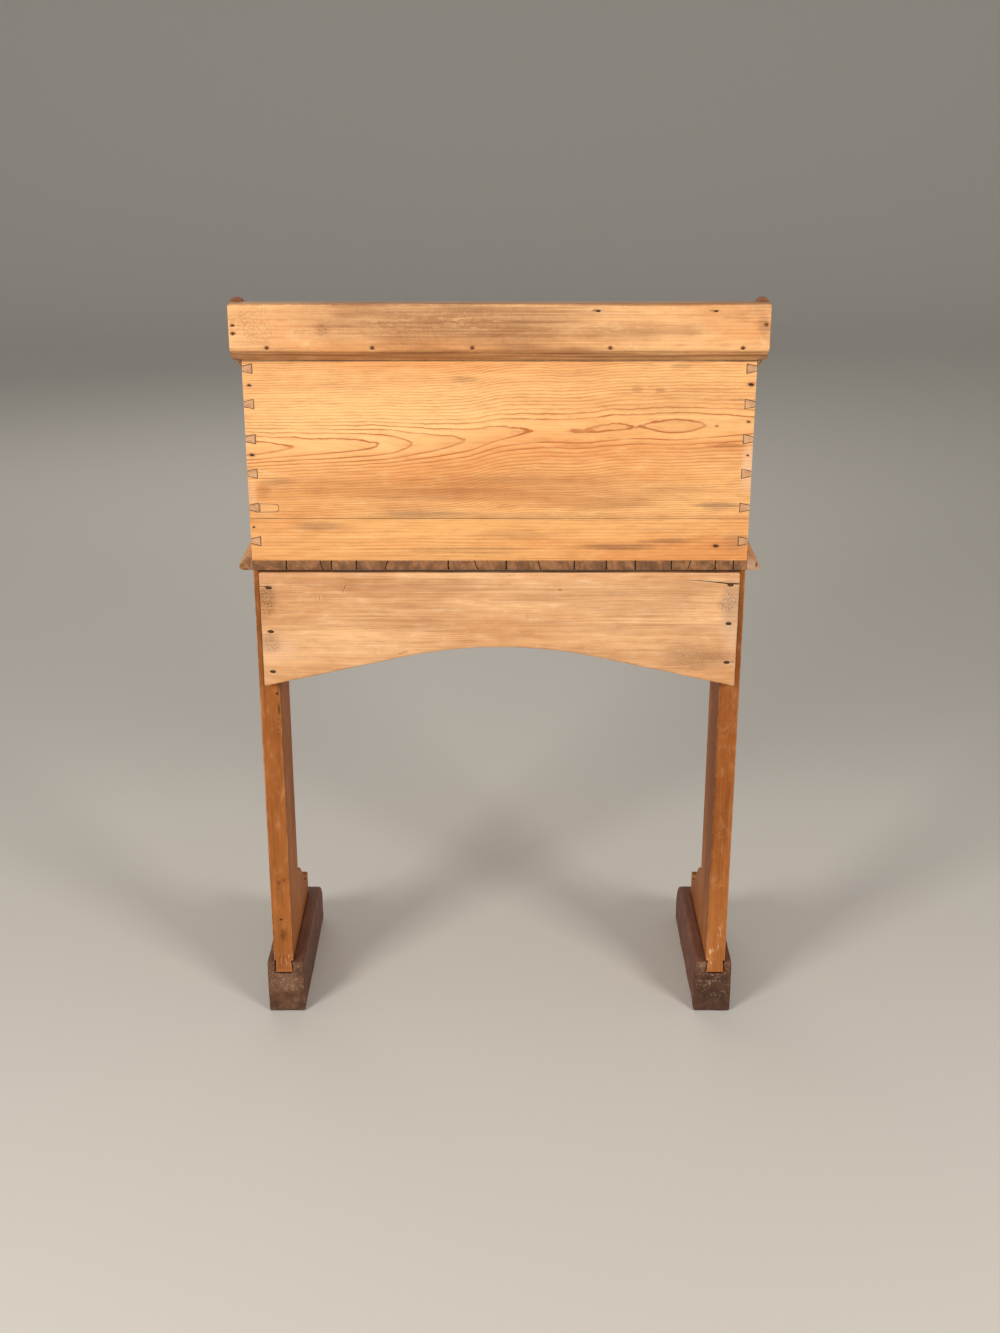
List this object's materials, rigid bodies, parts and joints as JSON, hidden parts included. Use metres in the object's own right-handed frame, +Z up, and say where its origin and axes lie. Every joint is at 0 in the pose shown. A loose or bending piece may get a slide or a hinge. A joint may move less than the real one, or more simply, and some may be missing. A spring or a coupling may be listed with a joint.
{
  "type": "school desk",
  "caption": "Pine school desk: a dovetailed box with a sloping hinged lid and a railed pen ledge, on plank legs with sledge feet and an arched back apron.",
  "frame": {"origin": "on the floor under the middle of the desk's overall width and depth", "axes": "+Z up; +Y towards the desk's back, so the pupil sits at -Y; +X to the pupil's right"},
  "size_m": [0.6728, 0.4357, 1.0116],
  "materials": {
    "box_pine": "golden waxed pine with clear grain and darker joint lines",
    "gallery_pine": "orange-brown waxed pine, darker where it has been handled",
    "lid_pine": "waxed pine, worn smooth",
    "bottom_pine": "bare pine gone brown-grey, with checked end grain",
    "apron_pine": "paler pinkish pine with a dull wax",
    "leg_wood": "orange-brown varnished pine, rubbed lighter along the edges",
    "foot_wood": "dark brown stained wood, dull and scuffed",
    "hinge_brass": "aged brass",
    "screw_steel": "dulled steel",
    "nail_iron": "black iron with rust"
  },
  "bodies": {
    "desk": {"back_board_upper": "box_pine", "back_board_lower": "box_pine", "side_board_left": "box_pine", "side_board_right": "box_pine", "front_board": "box_pine", "base_moulding_left": "box_pine", "base_moulding_right": "box_pine", "base_moulding_front": "box_pine", "bottom_board_1": "bottom_pine", "bottom_board_2": "bottom_pine", "bottom_board_3": "bottom_pine", "bottom_board_4": "bottom_pine", "gallery_back_rail": "gallery_pine", "gallery_side_left": "gallery_pine", "gallery_side_right": "gallery_pine", "top_ledge": "lid_pine", "apron": "apron_pine", "leg_left": "leg_wood", "leg_right": "leg_wood", "foot_left": "foot_wood", "foot_right": "foot_wood", "hinge_left_ledge_leaf": "hinge_brass", "hinge_left_pin": "hinge_brass", "hinge_right_ledge_leaf": "hinge_brass", "hinge_right_pin": "hinge_brass", "hinge_left_ledge_screw_1": "screw_steel", "hinge_left_ledge_screw_2": "screw_steel", "hinge_right_ledge_screw_1": "screw_steel", "hinge_right_ledge_screw_2": "screw_steel", "leg_left_screw_1": "screw_steel", "leg_left_screw_2": "screw_steel", "leg_right_screw_1": "screw_steel", "leg_right_screw_2": "screw_steel", "apron_nail_1": "nail_iron", "apron_nail_2": "nail_iron", "apron_nail_3": "nail_iron", "apron_nail_4": "nail_iron", "apron_nail_5": "nail_iron", "apron_nail_6": "nail_iron", "rail_nail_1": "nail_iron", "rail_nail_2": "nail_iron", "rail_nail_3": "nail_iron", "rail_nail_4": "nail_iron", "rail_nail_5": "nail_iron", "rail_end_nail_1": "nail_iron", "rail_end_nail_2": "nail_iron", "rail_end_nail_3": "nail_iron"},
    "lid": {"lid_board_upper": "lid_pine", "lid_board_lower": "lid_pine", "lid_cleat_left": "lid_pine", "lid_cleat_right": "lid_pine", "hinge_left_lid_leaf": "hinge_brass", "hinge_right_lid_leaf": "hinge_brass", "hinge_left_lid_screw_1": "screw_steel", "hinge_left_lid_screw_2": "screw_steel", "hinge_right_lid_screw_1": "screw_steel", "hinge_right_lid_screw_2": "screw_steel"}
  },
  "joints": [
    {"name": "lid_hinge", "type": "hinge", "parent": "desk", "child": "lid", "pos_m": [0, 0.1046, 0.9626], "axis": [-1, 0, 0], "range_deg": [0, 145]}
  ]
}
